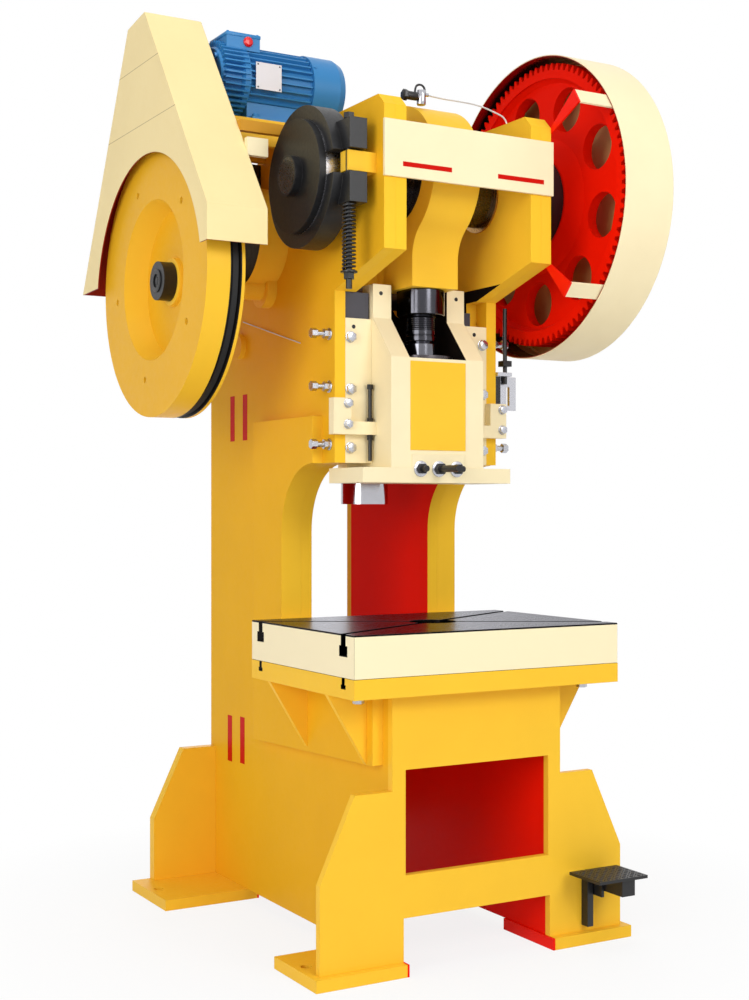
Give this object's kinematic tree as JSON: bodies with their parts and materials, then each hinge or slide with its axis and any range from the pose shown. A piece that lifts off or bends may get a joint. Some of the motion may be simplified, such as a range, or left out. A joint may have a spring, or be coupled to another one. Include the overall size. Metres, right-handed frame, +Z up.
{
  "type": "power press",
  "caption": "Floor-standing mechanical stamping press: C-shaped welded frame, crank-driven slide, slotted bolster, geared flywheel drive under guards, band brake and foot pedal.",
  "frame": {"origin": "floor level, on the centre plane between the side plates, at the front face of the base front plate", "axes": "+X to the right as the operator sees it, +Y to the back, +Z up"},
  "size_m": [0.874, 1.011, 1.887],
  "materials": {
    "yellow_paint": "gloss",
    "red_paint": "gloss",
    "cream_paint": "gloss",
    "blue_paint": "gloss",
    "black_paint": "satin",
    "steel": "ground",
    "dark_steel": "oiled",
    "chrome": "polished",
    "rubber": "matte"
  },
  "bodies": {
    "frame": {"base_front_plate": "yellow_paint", "base_rear_plates": "yellow_paint", "bed_plate": "yellow_paint", "belt_guard": "cream_paint", "bolster_plate": "steel", "brake_anchor": "yellow_paint", "brake_band": "black_paint", "brake_bolt": "dark_steel", "brake_spring": "dark_steel", "crown_cover_plate": "cream_paint", "foot_plates_front": "yellow_paint", "foot_plates_rear": "yellow_paint", "frame_cross_webs": "yellow_paint", "frame_liner_left": "red_paint", "frame_liner_right": "red_paint", "frame_side_left": "yellow_paint", "frame_side_right": "yellow_paint", "gear_guard": "cream_paint", "gib_adjusters": "steel", "gib_bolts": "steel", "gib_top_plates": "black_paint", "gibs": "cream_paint", "guard_straps": "cream_paint", "hood_brackets": "cream_paint", "main_bushes": "steel", "motor_body": "blue_paint", "motor_fan_cover": "blue_paint", "motor_seat": "yellow_paint", "motor_terminal_box": "blue_paint", "pedal_bracket": "black_paint", "polished_cylinder": "chrome", "shaft_housings": "yellow_paint", "stop_bolts": "dark_steel", "stop_brackets": "cream_paint", "table_gussets": "yellow_paint", "trip_lever": "steel", "v_belt": "rubber"},
    "slide_body": {"slide": "cream_paint", "ball_socket": "steel", "ram_clamp_cap": "cream_paint", "slide_panel": "yellow_paint", "clamp_screws": "dark_steel"},
    "crankshaft_body": {"crankshaft": "steel", "brake_drum": "black_paint", "clutch_ring": "black_paint", "crank_end_cap": "dark_steel"},
    "rod_body": {"connecting_rod": "yellow_paint", "lock_nut": "dark_steel", "adjusting_screw": "dark_steel"},
    "gear_body": {"drive_gear": "red_paint"},
    "flywheel_body": {"flywheel": "yellow_paint", "flywheel_cap": "black_paint", "pinion_shaft": "dark_steel"},
    "motor_rotor": {"motor_pulley": "dark_steel", "motor_shaft": "dark_steel"},
    "pedal_body": {"foot_pedal": "black_paint"},
    "trip_body": {"trip_rod": "dark_steel"}
  },
  "joints": [
    {"name": "slide_stroke", "type": "slide", "parent": "frame", "child": "slide_body", "axis": [0, 0, 1], "range_m": [-0.05, 0]},
    {"name": "crank_turn", "type": "hinge", "parent": "frame", "child": "crankshaft_body", "pos_m": [0, 0.213, 1.512], "axis": [1, 0, 0], "continuous": true},
    {"name": "rod_pin", "type": "hinge", "parent": "crankshaft_body", "child": "rod_body", "pos_m": [0, 0.213, 1.537], "axis": [1, 0, 0], "continuous": true},
    {"name": "flywheel_turn", "type": "hinge", "parent": "frame", "child": "flywheel_body", "pos_m": [0, 0.52111, 1.33768], "axis": [1, 0, 0], "continuous": true},
    {"name": "gear_turn", "type": "hinge", "parent": "frame", "child": "gear_body", "pos_m": [0, 0.213, 1.512], "axis": [1, 0, 0], "continuous": true},
    {"name": "motor_turn", "type": "hinge", "parent": "frame", "child": "motor_rotor", "pos_m": [0, 0.508, 1.768], "axis": [1, 0, 0], "continuous": true},
    {"name": "pedal_press", "type": "hinge", "parent": "frame", "child": "pedal_body", "pos_m": [0.283, -0.03, 0.122], "axis": [1, 0, 0], "range_deg": [0, 10], "stiffness_Nm_per_rad": 20, "springref_deg": -8.59},
    {"name": "trip_pull", "type": "slide", "parent": "frame", "child": "trip_body", "axis": [0, 0, 1], "range_m": [-0.0121, 0]}
  ],
  "couplings": [
    {"joint": "rod_pin", "follows": "crank_turn", "ratio": -1},
    {"joint": "gear_turn", "follows": "flywheel_turn", "ratio": -0.21649},
    {"joint": "motor_turn", "follows": "flywheel_turn", "ratio": 7.413},
    {"joint": "trip_pull", "follows": "pedal_press", "m_per_rad": -0.068755}
  ]
}
